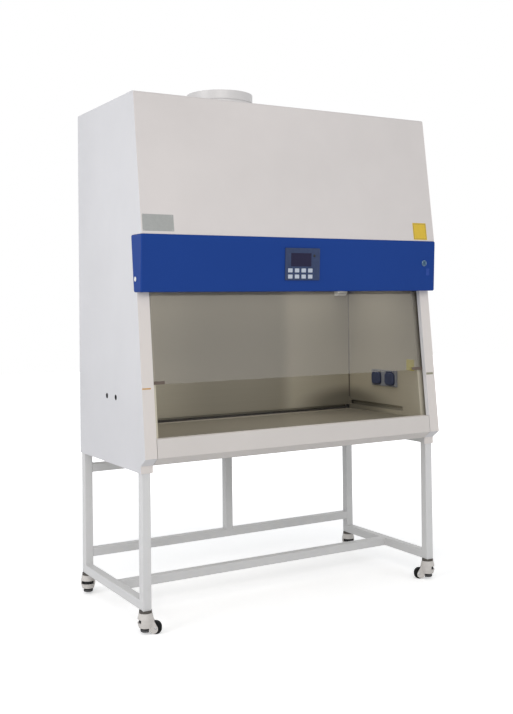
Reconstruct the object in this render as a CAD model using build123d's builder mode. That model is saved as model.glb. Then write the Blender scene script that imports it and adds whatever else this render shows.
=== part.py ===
from build123d import *
import os
from math import cos, radians, sin

os.makedirs("parts", exist_ok=True)

# The cabinet is drawn as a depth measured forward from its back face and a height above
# the floor. BACK_Y puts the middle of the whole footprint at the origin, front along -Y.

# cabinet body
WIDTH = 1500.0
HALF = WIDTH / 2
SHEET = 2.0
INNER_HALF = HALF - SHEET
BODY_TOP = 2179.0
TOP_DEPTH = 642.0
HOOD_LEAN = 0.127
HOOD_ROUND = 12.0
HOOD_LIP = 15.0
SKIRT_BOTTOM = 640.0
BASE_Z = 680.0
WINDOW_LEAN = 0.1016
NOSE_REACH = 90.0
NOSE_Z = 702.0
CHIN_BACK = 44.0
CHIN_DROP = 32.0
SEAM = 0.3

# control band
BAND_TOP = 1595.0
BAND_BOTTOM = 1362.0
BAND_STEP = 4.0
BAND_OVERHANG = 43.0
SASH_ROOM = 3.0
BAND_PROUD = 3.0
BAND_ROUND = 5.0
BAND_CORNER = 8.0

# window opening, apron and sash
STRIP_WIDTH = 52.0
SILL_Z = 777.0
CHIN_LIP = 12.0
RETURN_DEPTH = 22.0
SASH_BEHIND = 27.0
GLASS = 6.0
GLASS_OVERLAP = 12.0
GLASS_BOTTOM = 990.0
GLASS_RISE = 628.0
CLIP_WIDTH = 72.0
CLIP_RISE = 13.0
CLIP_PROUD = 2.5

# work chamber
LINER_INSET = 23.0
LINER_BACK = 122.0
LINER_TOP = 1405.0
BACK_WALL_BOTTOM = 782.0
SLOT_Z = 796.0
SLOT_HEIGHT = 22.0
SLOT_LENGTH = 425.0
SLOT_DEPTH = 348.0
TRAY_Z = 760.0
TRAY_RIM = 4.0
TRAY_FOOT_Z = 735.0
TRAY_SIDE_GAP = 7.0
TRAY_BACK = 142.0
TRAY_BEHIND = 92.0
GRILLE_SIDE_GAP = 3.0
GRILLE_CREST_BEHIND = 70.0
GRILLE_FALL = 18.0
GRILLE_REST = 10.0
GRILLE_TUCK = 10.0
VENT_COLUMNS = 30
VENT_MARGIN = 0.5
VENT_BRIDGE = 12.0
VENT_WIDTH = 7.0
VENT_ROW_GAP = 13.0
VENT_BEHIND = 57.0
DIFFUSER_Z = 1400.0
DIFFUSER_SHORT = 5.0

# air handling
PLENUM_SHORT = 12.0
PLENUM_TOP = 1542.0
SUPPLY_SIDE_GAP = 10.0
SUPPLY_RISE = 70.0
FILTER_FRAME = 18.0
FILTER_RECESS = 8.0
FILTER_GAP = 5.0
EXHAUST_SIDE = 460.0
EXHAUST_RISE = 135.0
COLLAR_X = -197.0
COLLAR_BEHIND = 292.0
COLLAR_R = 150.0
COLLAR_RISE = 81.0
COLLAR_FLANGE = 22.0
BEAD_RISE = 42.0
BEAD = 3.0
BLOWER_X = 150.0
BLOWER_BEHIND = 312.0
BLOWER_Z = 1755.0
SCROLL_R = 165.0
SCROLL_SHEET = 3.0
SCROLL_HALF = 110.0
OUTLET_NEAR = 20.0
INLET_R = 92.0
MOTOR_R = 32.0
MOTOR_LENGTH = 150.0
RUNNING = 0.05
ROTOR_R = 128.0
BLADE_INNER = 96.0
BLADE_COUNT = 16
BLADE = 3.0
ROTOR_HALF = 80.0
HUB_WALL = 6.0

# sash drive
DRIVE_BEHIND = 67.0
DRIVE_DROP = 244.0
DRIVE_R = 22.0
DRUM_R = 40.0
DRUM_WIDTH = 18.0
DRUM_INSET = 50.0
STUB_R = 10.0
BOSS_R = 24.0
BOSS_LENGTH = 12.0

# lamps
LAMP_R = 13.0
UV_INSET = 90.0
UV_Z = 1384.0
UV_STANDOFF = 26.0
UV_HOLDER = (55.0, 40.0)
UV_HOLDER_BOTTOM = 1345.0
UV_HOLDER_TAPER = 14.0
LIGHT_INSET = 190.0
LIGHT_BEHIND = 33.0
LIGHT_Z = 1415.0
LIGHT_HOLDER = (40.0, 34.0)
LIGHT_HOLDER_TOP = 1435.0

# control unit on the band
UNIT_X = 7.0
UNIT_Z = 1480.0
UNIT_SIZE = (178.0, 140.0)
UNIT_RISE = 5.0
UNIT_ROUND = 4.0
SCREEN_AT = (-8.7, 19.0)
SCREEN_SIZE = (105.0, 58.0)
SCREEN_POCKET = 2.0
SCREEN_RISE = 1.6
KEY_FIRST_X = -64.4
KEY_PITCH_X = 34.3
KEY_COLUMNS = 4
KEY_ROWS = (-27.2, -53.7)
KEY_SIZE = (22.2, 17.2)
KEY_POCKET = 3.5
KEY_GAP = 0.4
KEY_TRAVEL = 1.0
KEY_PROUD = 1.2
LOCK_INSET = 62.0
LOCK_Z = 1490.6
LOCK_R = 11.0
LOCK_FLANGE_R = 14.0
LOCK_FLANGE = 2.5
LOCK_LENGTH = 25.0
KEY_BOW = (20.0, 3.0, 11.0)

# sockets on the right-hand inner wall
PLATE_DEPTHS = (322.0, 520.0)
PLATE_ZS = (896.0, 975.0)
PLATE_RISE = 6.0
COVER_DEPTHS = (368.0, 473.0)
COVER_WIDTH = 66.0
COVER_BOTTOM = 903.0
COVER_RISE = 13.4
COVER_ROUND = 18.0
HINGE_Z = 969.0
HINGE_OUT = 6.0
BARREL_R = 4.0
BARREL_HALF = 24.0
PIN_R = 2.0
LUG = 4.0
SOCKET_R = 22.0
SOCKET_SINK = 3.0

# hose ports in the left-hand side
PORT_DEPTHS = (332.5, 430.5)
PORT_Z = 924.0
PORT_R = 12.0
PORT_LENGTH = 12.0
PORT_DISH = 4.0

# stand
TUBE = 38.0
TUBE_ROUND = 3.0
STAND_INSET = 5.0
STAND_BACK = 3.0
STAND_BEHIND = 48.0
STAND_BOTTOM = 95.0
REAR_LOW_Z = 168.0
REAR_HIGH_Z = 551.0

# levelling casters
RING_R = 26.0
RING_BOTTOM = 85.3
KINGPIN_R = 8.0
KINGPIN_BOTTOM = 70.0
FORK_TOP = 85.0
FORK_NECK_R = 27.0
FORK_BELLY_R = 32.0
FORK_BELLY_Z = 64.0
FORK_WAIST_Z = 46.0
FORK_FOOT_R = 27.0
FORK_FOOT_Z = 27.0
CHEEK_R = 17.0
CHEEK_AT = (32.0, 21.0)
CHEEK_HALF = 17.0
SHOULDER_R = 22.0
SHOULDER_AT = (6.0, 58.0)
WHEEL_R = 25.0
WHEEL_HALF = 11.0
WHEEL_TRAIL = 40.0
WHEEL_ROOM = 1.5
TREAD = 7.0
HUB_SINK = 2.0
AXLE_R = 4.0
DIAL_R = 26.8
DIAL_BOTTOM = 47.0
DIAL_RISE = 13.5
DIAL_ROOM = 0.5
DIAL_NOTCHES = 18
NOTCH_R = 1.6
WINDOW_HALF = 27.0
PAD_R = 21.0
PAD_BOTTOM = 10.0
PAD_RISE = 9.0
SCREW_R = 6.0
SCREW_TOP = 66.0
FOOT_LIFT = 3.0
CASTER_TURNS = {"front_left": -25.0, "front_right": 142.0, "rear_left": 62.0, "rear_right": 62.0}

# what follows from the sizes above
NOSE_DEPTH = TOP_DEPTH + NOSE_REACH
CHIN_DEPTH = NOSE_DEPTH - CHIN_BACK
CHIN_Z = NOSE_Z - CHIN_DROP
OPENING_HALF = HALF - STRIP_WIDTH
SILL_LIP = SASH_BEHIND + GLASS
GLASS_HALF = OPENING_HALF + GLASS_OVERLAP
LINER_HALF = OPENING_HALF - LINER_INSET
LINER_FRONT_BEHIND = SASH_BEHIND + GLASS + SEAM
LINER_FLANGE = INNER_HALF - LINER_HALF - SEAM
TRAY_HALF = LINER_HALF - TRAY_SIDE_GAP
TRAY_FRONT = NOSE_DEPTH - TRAY_BEHIND
GRILLE_HALF = LINER_HALF - GRILLE_SIDE_GAP
GRILLE_CREST_DEPTH = NOSE_DEPTH - GRILLE_CREST_BEHIND
GRILLE_HEEL_DEPTH = GRILLE_CREST_DEPTH - GRILLE_FALL
VENT_PITCH = 2 * GRILLE_HALF / (VENT_COLUMNS + VENT_MARGIN)
VENT_LENGTH = VENT_PITCH - VENT_BRIDGE
VENT_DEPTH = NOSE_DEPTH - VENT_BEHIND
SUPPLY_HALF = LINER_HALF - SUPPLY_SIDE_GAP
COLLAR_DEPTH = TOP_DEPTH - COLLAR_BEHIND
COLLAR_TOP = BODY_TOP + COLLAR_RISE
BEAD_Z = BODY_TOP + BEAD_RISE
BLOWER_DEPTH = TOP_DEPTH - BLOWER_BEHIND
DRIVE_DEPTH = TOP_DEPTH - DRIVE_BEHIND
DRIVE_Z = BODY_TOP - DRIVE_DROP
DRIVE_HALF = HALF - DRUM_INSET
UV_HALF = LINER_HALF - UV_INSET
UV_HOLDER_TOP = DIFFUSER_Z
LIGHT_HALF = HALF - LIGHT_INSET
LOCK_X = HALF - LOCK_INSET
STAND_HALF = HALF - STAND_INSET
STAND_FRONT = NOSE_DEPTH - STAND_BEHIND
REAR_TURN = radians(CASTER_TURNS["rear_left"])
REAR_REACH = (WHEEL_TRAIL + WHEEL_R) * sin(REAR_TURN) + WHEEL_HALF * cos(REAR_TURN)
REAR_OVERHANG = REAR_REACH - STAND_BACK - TUBE / 2
BACK_Y = (NOSE_DEPTH - REAR_OVERHANG) / 2


def world_y(depth):
    return BACK_Y - depth


def window_depth(z):
    return NOSE_DEPTH - (z - NOSE_Z) * WINDOW_LEAN


def hood_depth(z):
    return TOP_DEPTH + (BODY_TOP - z) * HOOD_LEAN


def glass_front(z):
    return window_depth(z) - SASH_BEHIND


def glass_back(z):
    return glass_front(z) - GLASS


BAND_DEPTH_TOP = hood_depth(BAND_TOP) + BAND_STEP
BAND_DEPTH_BOTTOM = window_depth(BAND_BOTTOM) + BAND_OVERHANG
BAND_BACK_TOP = glass_front(BAND_TOP) + SASH_ROOM
BAND_BACK_BOTTOM = glass_front(BAND_BOTTOM) + SASH_ROOM
PLENUM_FRONT = glass_back(PLENUM_TOP) - PLENUM_SHORT
DIFFUSER_FRONT = glass_back(LINER_TOP) - DIFFUSER_SHORT
LIGHT_DEPTH = BAND_DEPTH_BOTTOM - LIGHT_BEHIND


def band_depth(z):
    share = (z - BAND_BOTTOM) / (BAND_TOP - BAND_BOTTOM)
    return BAND_DEPTH_BOTTOM + share * (BAND_DEPTH_TOP - BAND_DEPTH_BOTTOM)


def across(points, low_x, high_x, mode=Mode.ADD):
    """A profile of (depth, z) points, run along X inside the active part."""
    with BuildSketch(Plane.YZ.offset(low_x)) as profile:
        with BuildLine():
            Polyline(*[(world_y(depth), z) for depth, z in points], close=True)
        make_face()
    extrude(profile.sketch, amount=high_x - low_x, mode=mode)


def bar(low_x, high_x, back, front, low_z, high_z, mode=Mode.ADD):
    """A plain block inside the active part, between two depths."""
    across([(back, low_z), (back, high_z), (front, high_z), (front, low_z)], low_x, high_x, mode)


def side_bar(side, near_x, far_x, back, front, low_z, high_z, mode=Mode.ADD):
    bar(min(side * near_x, side * far_x), max(side * near_x, side * far_x),
        back, front, low_z, high_z, mode)


def side_across(side, points, near_x, far_x, mode=Mode.ADD):
    across(points, min(side * near_x, side * far_x), max(side * near_x, side * far_x), mode)


def store(part, label):
    part.label = label
    export_step(part, "parts/" + label + ".step")


def leaning(top, bottom, behind, thick):
    """A sheet behind the window plane, given as (depth, z) points."""
    front_top = window_depth(top) - behind
    front_bottom = window_depth(bottom) - behind
    return [(front_top, top), (front_bottom, bottom),
            (front_bottom - thick, bottom), (front_top - thick, top)]


BAND_TILT = (BAND_DEPTH_TOP - BAND_DEPTH_BOTTOM) / (BAND_TOP - BAND_BOTTOM)


def band_plane(x, z, proud=0.0):
    """A plane on the band's front face, its z axis pointing out of the cabinet."""
    outward = Vector(0, -1, -BAND_TILT).normalized()
    origin = Vector(x, world_y(band_depth(z)), z) + outward * proud
    return Plane(origin=origin, x_dir=(1, 0, 0), z_dir=outward)


def top_front_edge(builder):
    return builder.edges().filter_by(Axis.X).group_by(Axis.Z)[-1].sort_by(Axis.Y)[0]


# side panels: one folded sheet each, with the window's edge strip and the skirt
def side_panel(side):
    outline = [
        (0, SKIRT_BOTTOM), (0, BODY_TOP), (TOP_DEPTH, BODY_TOP),
        (hood_depth(BAND_TOP), BAND_TOP), (BAND_BACK_TOP - SEAM, BAND_TOP),
        (BAND_BACK_BOTTOM - SEAM, BAND_BOTTOM), (window_depth(BAND_BOTTOM), BAND_BOTTOM),
        (NOSE_DEPTH, NOSE_Z), (CHIN_DEPTH, CHIN_Z), (CHIN_DEPTH, SKIRT_BOTTOM),
    ]
    strip = [
        (window_depth(BAND_BOTTOM), BAND_BOTTOM), (NOSE_DEPTH, NOSE_Z), (CHIN_DEPTH, CHIN_Z),
        (CHIN_DEPTH, SKIRT_BOTTOM), (CHIN_DEPTH - SHEET, SKIRT_BOTTOM),
        (CHIN_DEPTH - SHEET, CHIN_Z + SHEET / 2), (NOSE_DEPTH - SHEET, NOSE_Z + SHEET / 2),
        (window_depth(BAND_BOTTOM) - SHEET, BAND_BOTTOM),
    ]
    with BuildPart() as panel:
        side_across(side, outline, INNER_HALF, HALF)
        fillet(top_front_edge(panel), HOOD_ROUND)
        side_across(side, strip, OPENING_HALF, INNER_HALF)
        side_across(side, leaning(BAND_BOTTOM, SILL_Z, 0, RETURN_DEPTH),
                    OPENING_HALF, OPENING_HALF + SHEET)
        boss = Plane(origin=(side * INNER_HALF, world_y(DRIVE_DEPTH), DRIVE_Z),
                     x_dir=(0, 1, 0), z_dir=(-side, 0, 0))
        with BuildSketch(boss) as boss_ring:
            Circle(BOSS_R)
            Circle(STUB_R + RUNNING, mode=Mode.SUBTRACT)
        extrude(boss_ring.sketch, amount=BOSS_LENGTH)
        if side < 0:
            with BuildSketch(Plane.YZ.offset(-HALF)) as ports:
                with Locations(*[(world_y(depth), PORT_Z) for depth in PORT_DEPTHS]):
                    Circle(PORT_R)
            extrude(ports.sketch, amount=SHEET, mode=Mode.SUBTRACT)
    return panel.part


store(side_panel(-1), "side_panel_left")
store(side_panel(1), "side_panel_right")

with BuildPart() as port_plugs:
    with BuildSketch(Plane.YZ.offset(-HALF)) as plug_discs:
        with Locations(*[(world_y(depth), PORT_Z) for depth in PORT_DEPTHS]):
            Circle(PORT_R - RUNNING)
    extrude(plug_discs.sketch, amount=PORT_LENGTH)
    with BuildSketch(Plane.YZ.offset(-HALF)) as plug_dishes:
        with Locations(*[(world_y(depth), PORT_Z) for depth in PORT_DEPTHS]):
            Circle(PORT_R - PORT_DISH)
    extrude(plug_dishes.sketch, amount=PORT_DISH, mode=Mode.SUBTRACT)
store(port_plugs.part, "port_plugs")

with BuildPart() as back_panel:
    bar(-INNER_HALF, INNER_HALF, 0, SHEET, SKIRT_BOTTOM, BODY_TOP - SHEET)
store(back_panel.part, "back_panel")

with BuildPart() as top_panel:
    bar(-INNER_HALF, INNER_HALF, 0, TOP_DEPTH - HOOD_LIP - SEAM, BODY_TOP - SHEET, BODY_TOP)
    with BuildSketch(Plane.XY.offset(BODY_TOP - SHEET)) as duct_hole:
        with Locations((COLLAR_X, world_y(COLLAR_DEPTH))):
            Circle(COLLAR_R + SEAM)
    extrude(duct_hole.sketch, amount=SHEET, mode=Mode.SUBTRACT)
store(top_panel.part, "top_panel")

# exhaust collar, turned about its own upright axis
collar_plane = Plane(origin=(COLLAR_X, world_y(COLLAR_DEPTH), 0), x_dir=(1, 0, 0), z_dir=(0, -1, 0))
with BuildPart() as exhaust_collar:
    with BuildSketch(collar_plane):
        with BuildLine():
            Polyline(
                (COLLAR_R - SHEET, BODY_TOP - SHEET), (COLLAR_R, BODY_TOP - SHEET),
                (COLLAR_R, BODY_TOP), (COLLAR_R + COLLAR_FLANGE, BODY_TOP),
                (COLLAR_R + COLLAR_FLANGE, BODY_TOP + SHEET), (COLLAR_R, BODY_TOP + SHEET),
                (COLLAR_R, BEAD_Z - BEAD), (COLLAR_R + BEAD, BEAD_Z), (COLLAR_R, BEAD_Z + BEAD),
                (COLLAR_R, COLLAR_TOP), (COLLAR_R - SHEET, COLLAR_TOP), close=True)
        make_face()
    revolve(axis=Axis((COLLAR_X, world_y(COLLAR_DEPTH), 0), (0, 0, 1)))
store(exhaust_collar.part, "exhaust_collar")

with BuildPart() as hood_panel:
    across([(TOP_DEPTH - HOOD_LIP, BODY_TOP), (TOP_DEPTH, BODY_TOP),
            (hood_depth(BAND_TOP), BAND_TOP), (hood_depth(BAND_TOP) - SHEET, BAND_TOP),
            (TOP_DEPTH - SHEET, BODY_TOP - SHEET), (TOP_DEPTH - HOOD_LIP, BODY_TOP - SHEET)],
           -INNER_HALF, INNER_HALF)
    inner_bend = hood_panel.edges().filter_by(Axis.X).group_by(Axis.Z)[-2].sort_by(Axis.Y)[0]
    fillet(inner_bend, HOOD_ROUND - SHEET)
    fillet(top_front_edge(hood_panel), HOOD_ROUND)
store(hood_panel.part, "hood_panel")

# control band: a box open at the back, so that the sash can run up behind it
with BuildPart() as control_band:
    across([(BAND_BACK_TOP, BAND_TOP), (BAND_DEPTH_TOP, BAND_TOP),
            (BAND_DEPTH_BOTTOM, BAND_BOTTOM), (BAND_BACK_BOTTOM, BAND_BOTTOM)],
           -HALF - BAND_PROUD, HALF + BAND_PROUD)
    fillet(control_band.edges().filter_by(Axis.Y), BAND_CORNER)
    front_edges = control_band.faces().sort_by(Axis.Y)[0].edges()
    fillet(front_edges, BAND_ROUND)
    across([(BAND_BACK_TOP - BAND_ROUND, BAND_TOP - SHEET),
            (BAND_DEPTH_TOP - SHEET, BAND_TOP - SHEET),
            (BAND_DEPTH_BOTTOM - SHEET, BAND_BOTTOM + SHEET),
            (BAND_BACK_TOP - BAND_ROUND, BAND_BOTTOM + SHEET)],
           -HALF + SHEET, HALF - SHEET, Mode.SUBTRACT)
    with BuildSketch(band_plane(LOCK_X, LOCK_Z)) as lock_bore:
        Circle(LOCK_R + RUNNING)
    extrude(lock_bore.sketch, amount=-LOCK_LENGTH, mode=Mode.SUBTRACT)
store(control_band.part, "control_band")

with BuildPart() as apron_panel:
    sill_front = window_depth(SILL_Z)
    across([(sill_front - SILL_LIP, SILL_Z), (sill_front, SILL_Z), (NOSE_DEPTH, NOSE_Z),
            (CHIN_DEPTH, CHIN_Z), (CHIN_DEPTH - CHIN_LIP, CHIN_Z),
            (CHIN_DEPTH - CHIN_LIP, CHIN_Z + SHEET), (CHIN_DEPTH - SHEET / 2, CHIN_Z + SHEET),
            (NOSE_DEPTH - SHEET, NOSE_Z + SHEET / 2), (sill_front - SHEET, SILL_Z - SHEET),
            (sill_front - SILL_LIP, SILL_Z - SHEET)],
           -OPENING_HALF + SHEET, OPENING_HALF - SHEET)
store(apron_panel.part, "apron_panel")

with BuildPart() as base_pan:
    bar(-INNER_HALF, INNER_HALF, SHEET, CHIN_DEPTH - SHEET - SEAM, BASE_Z, BASE_Z + SHEET)
    bar(-TRAY_HALF, TRAY_HALF, TRAY_BACK, TRAY_FRONT, BASE_Z + SHEET, TRAY_FOOT_Z)
    bar(-TRAY_HALF + SHEET, TRAY_HALF - SHEET, TRAY_BACK + SHEET, TRAY_FRONT - SHEET,
        BASE_Z + SHEET, TRAY_FOOT_Z, Mode.SUBTRACT)
store(base_pan.part, "base_pan")

# work chamber
with BuildPart() as chamber_liner:
    liner_foot = BASE_Z + SHEET
    liner_sheet = leaning(LINER_TOP, liner_foot, LINER_FRONT_BEHIND, SHEET)
    for side in (-1, 1):
        side_across(side, [(LINER_BACK - SHEET, liner_foot), (LINER_BACK - SHEET, LINER_TOP),
                           liner_sheet[0], liner_sheet[1]],
                    LINER_HALF, LINER_HALF + SHEET)
        side_across(side, liner_sheet, LINER_HALF, LINER_HALF + LINER_FLANGE)
    bar(-LINER_HALF, LINER_HALF, LINER_BACK - SHEET, LINER_BACK, BACK_WALL_BOTTOM, LINER_TOP)
    with BuildSketch(Plane.YZ.offset(-LINER_HALF - SHEET)) as wall_slots:
        with Locations((world_y(SLOT_DEPTH), SLOT_Z)):
            SlotOverall(SLOT_LENGTH, SLOT_HEIGHT)
    extrude(wall_slots.sketch, amount=2 * (LINER_HALF + SHEET), mode=Mode.SUBTRACT)
store(chamber_liner.part, "chamber_liner")

with BuildPart() as work_tray:
    bar(-TRAY_HALF, TRAY_HALF, TRAY_BACK, TRAY_FRONT, TRAY_FOOT_Z, TRAY_Z + TRAY_RIM)
    bar(-TRAY_HALF + SHEET, TRAY_HALF - SHEET, TRAY_BACK + SHEET, TRAY_FRONT - SHEET,
        TRAY_Z, TRAY_Z + TRAY_RIM, Mode.SUBTRACT)
    bar(-TRAY_HALF + SHEET, TRAY_HALF - SHEET, TRAY_BACK + SHEET, TRAY_FRONT - SHEET,
        TRAY_FOOT_Z, TRAY_Z - SHEET, Mode.SUBTRACT)
store(work_tray.part, "work_tray")

with BuildPart() as front_grille:
    tuck = sill_front - SILL_LIP + GRILLE_TUCK
    crest = SILL_Z - SHEET
    heel = TRAY_Z + TRAY_RIM + SHEET
    across([(tuck, crest), (GRILLE_CREST_DEPTH, crest), (GRILLE_HEEL_DEPTH, heel),
            (GRILLE_HEEL_DEPTH - GRILLE_REST, heel), (GRILLE_HEEL_DEPTH - GRILLE_REST, heel - SHEET),
            (GRILLE_HEEL_DEPTH, heel - SHEET), (GRILLE_CREST_DEPTH, crest - SHEET),
            (tuck, crest - SHEET)],
           -GRILLE_HALF, GRILLE_HALF)
    with BuildSketch(Plane.XY.offset(TRAY_Z)) as vents:
        with Locations((0, world_y(VENT_DEPTH))):
            with GridLocations(VENT_PITCH, VENT_ROW_GAP, VENT_COLUMNS, 2):
                Rectangle(VENT_LENGTH, VENT_WIDTH)
    extrude(vents.sketch, amount=SILL_Z - TRAY_Z, mode=Mode.SUBTRACT)
store(front_grille.part, "front_grille")

with BuildPart() as diffuser_grille:
    bar(-LINER_HALF, LINER_HALF, LINER_BACK, DIFFUSER_FRONT, DIFFUSER_Z, DIFFUSER_Z + SHEET)
store(diffuser_grille.part, "diffuser_grille")


# air handling above the chamber
def filter_box(low_x, high_x, back, front, low_z, high_z):
    with BuildPart() as box:
        bar(low_x, high_x, back, front, low_z, high_z)
        for sink_low, sink_high in ((low_z, low_z + FILTER_RECESS), (high_z - FILTER_RECESS, high_z)):
            bar(low_x + FILTER_FRAME, high_x - FILTER_FRAME, back + FILTER_FRAME,
                front - FILTER_FRAME, sink_low, sink_high, Mode.SUBTRACT)
    return box.part


with BuildPart() as plenum_box:
    plenum_half = LINER_HALF + SHEET
    plenum_back = LINER_BACK - SHEET
    bar(-plenum_half, plenum_half, plenum_back, PLENUM_FRONT, LINER_TOP, PLENUM_TOP)
    bar(-plenum_half + SHEET, plenum_half - SHEET, plenum_back + SHEET, PLENUM_FRONT - SHEET,
        LINER_TOP, PLENUM_TOP - SHEET, Mode.SUBTRACT)
    bar(BLOWER_X - SCROLL_HALF, BLOWER_X + SCROLL_HALF, BLOWER_DEPTH + OUTLET_NEAR,
        BLOWER_DEPTH + SCROLL_R, PLENUM_TOP - SHEET, PLENUM_TOP, Mode.SUBTRACT)
store(plenum_box.part, "plenum_box")

supply_filter = filter_box(-SUPPLY_HALF, SUPPLY_HALF, LINER_BACK + FILTER_GAP,
                           PLENUM_FRONT - FILTER_GAP, DIFFUSER_Z + SHEET,
                           DIFFUSER_Z + SHEET + SUPPLY_RISE)
store(supply_filter, "supply_filter")

exhaust_filter = filter_box(COLLAR_X - EXHAUST_SIDE / 2, COLLAR_X + EXHAUST_SIDE / 2,
                            COLLAR_DEPTH - EXHAUST_SIDE / 2, COLLAR_DEPTH + EXHAUST_SIDE / 2,
                            BODY_TOP - SHEET - EXHAUST_RISE, BODY_TOP - SHEET)
store(exhaust_filter, "exhaust_filter")

BLOWER_Y = world_y(BLOWER_DEPTH)
with BuildPart() as blower_housing:
    for inset, mode in ((0.0, Mode.ADD), (SCROLL_SHEET, Mode.SUBTRACT)):
        low_x = BLOWER_X - SCROLL_HALF + inset
        with BuildSketch(Plane.YZ.offset(low_x)) as scroll:
            with Locations((BLOWER_Y, BLOWER_Z)):
                Circle(SCROLL_R - inset)
            with BuildLine():
                Polyline((BLOWER_Y - SCROLL_R + inset, BLOWER_Z),
                         (BLOWER_Y - OUTLET_NEAR - inset, BLOWER_Z),
                         (BLOWER_Y - OUTLET_NEAR - inset, PLENUM_TOP),
                         (BLOWER_Y - SCROLL_R + inset, PLENUM_TOP), close=True)
            make_face()
        extrude(scroll.sketch, amount=2 * (SCROLL_HALF - inset), mode=mode)
    with BuildSketch(Plane.YZ.offset(BLOWER_X - SCROLL_HALF)) as inlet:
        with Locations((BLOWER_Y, BLOWER_Z)):
            Circle(INLET_R)
    extrude(inlet.sketch, amount=SCROLL_SHEET, mode=Mode.SUBTRACT)
    with BuildSketch(Plane.YZ.offset(BLOWER_X + SCROLL_HALF - SCROLL_SHEET)) as motor:
        with Locations((BLOWER_Y, BLOWER_Z)):
            Circle(MOTOR_R)
    extrude(motor.sketch, amount=-MOTOR_LENGTH)
store(blower_housing.part, "blower_housing")

with BuildPart() as blower_impeller:
    with BuildSketch(Plane.YZ.offset(BLOWER_X - ROTOR_HALF)) as rotor_ring:
        with Locations((BLOWER_Y, BLOWER_Z)):
            Circle(ROTOR_R)
            Circle(BLADE_INNER, mode=Mode.SUBTRACT)
    extrude(rotor_ring.sketch, amount=BLADE)
    with BuildSketch(Plane.YZ.offset(BLOWER_X + ROTOR_HALF - BLADE)) as rotor_plate:
        with Locations((BLOWER_Y, BLOWER_Z)):
            Circle(ROTOR_R)
            Circle(MOTOR_R + RUNNING, mode=Mode.SUBTRACT)
    extrude(rotor_plate.sketch, amount=BLADE)
    with BuildSketch(Plane.YZ.offset(BLOWER_X)) as rotor_hub:
        with Locations((BLOWER_Y, BLOWER_Z)):
            Circle(MOTOR_R + HUB_WALL)
            Circle(MOTOR_R + RUNNING, mode=Mode.SUBTRACT)
    extrude(rotor_hub.sketch, amount=ROTOR_HALF)
    with BuildSketch(Plane.YZ.offset(BLOWER_X - ROTOR_HALF)) as blades:
        with Locations((BLOWER_Y, BLOWER_Z)):
            with PolarLocations((ROTOR_R + BLADE_INNER) / 2, BLADE_COUNT):
                Rectangle(ROTOR_R - BLADE_INNER - BLADE, BLADE, rotation=30)
    extrude(blades.sketch, amount=2 * ROTOR_HALF)
store(blower_impeller.part, "blower_impeller")

# sash and its drive
GLASS_TOP = GLASS_BOTTOM + GLASS_RISE
with BuildPart() as sash_glass:
    across(leaning(GLASS_TOP, GLASS_BOTTOM, SASH_BEHIND, GLASS), -GLASS_HALF, GLASS_HALF)
store(sash_glass.part, "sash_glass")

with BuildPart() as sash_clips:
    for side in (-1, 1):
        side_across(side, leaning(GLASS_BOTTOM + CLIP_RISE, GLASS_BOTTOM,
                                  SASH_BEHIND - CLIP_PROUD, CLIP_PROUD),
                    GLASS_HALF - CLIP_WIDTH, GLASS_HALF)
store(sash_clips.part, "sash_clips")

drive_plane = Plane(origin=(0, world_y(DRIVE_DEPTH), DRIVE_Z), x_dir=(0, 1, 0), z_dir=(1, 0, 0))
with BuildPart() as sash_drive:
    with BuildSketch(drive_plane) as stub:
        Circle(STUB_R)
    extrude(stub.sketch, amount=INNER_HALF - SEAM, both=True)
    with BuildSketch(drive_plane) as motor_tube:
        Circle(DRIVE_R)
    extrude(motor_tube.sketch, amount=DRIVE_HALF, both=True)
    for drum_x in (-DRIVE_HALF, DRIVE_HALF - DRUM_WIDTH):
        with BuildSketch(drive_plane.offset(drum_x)) as drum:
            Circle(DRUM_R)
        extrude(drum.sketch, amount=DRUM_WIDTH)
store(sash_drive.part, "sash_drive")


# lamps
def lamp(half_length, depth, z):
    with BuildPart() as tube:
        with BuildSketch(Plane.YZ.offset(-half_length)) as ring:
            with Locations((world_y(depth), z)):
                Circle(LAMP_R)
        extrude(ring.sketch, amount=2 * half_length)
    return tube.part


UV_DEPTH = LINER_BACK + UV_STANDOFF
store(lamp(UV_HALF, UV_DEPTH, UV_Z), "uv_tube")
store(lamp(LIGHT_HALF, LIGHT_DEPTH, LIGHT_Z), "light_tube")

with BuildPart() as lamp_holders:
    for side in (-1, 1):
        side_across(side, [(LINER_BACK, UV_HOLDER_TOP), (LINER_BACK + UV_HOLDER[1], UV_HOLDER_TOP),
                           (LINER_BACK + UV_HOLDER[1], UV_HOLDER_BOTTOM + UV_HOLDER_TAPER),
                           (LINER_BACK + UV_HOLDER[1] - UV_HOLDER_TAPER, UV_HOLDER_BOTTOM),
                           (LINER_BACK, UV_HOLDER_BOTTOM)],
                    UV_HALF, UV_HALF + UV_HOLDER[0])
        side_bar(side, LIGHT_HALF, LIGHT_HALF + LIGHT_HOLDER[0],
                 LIGHT_DEPTH - LIGHT_HOLDER[1] / 2, LIGHT_DEPTH + LIGHT_HOLDER[1] / 2,
                 BAND_BOTTOM + SHEET, LIGHT_HOLDER_TOP)
store(lamp_holders.part, "lamp_holders")

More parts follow.
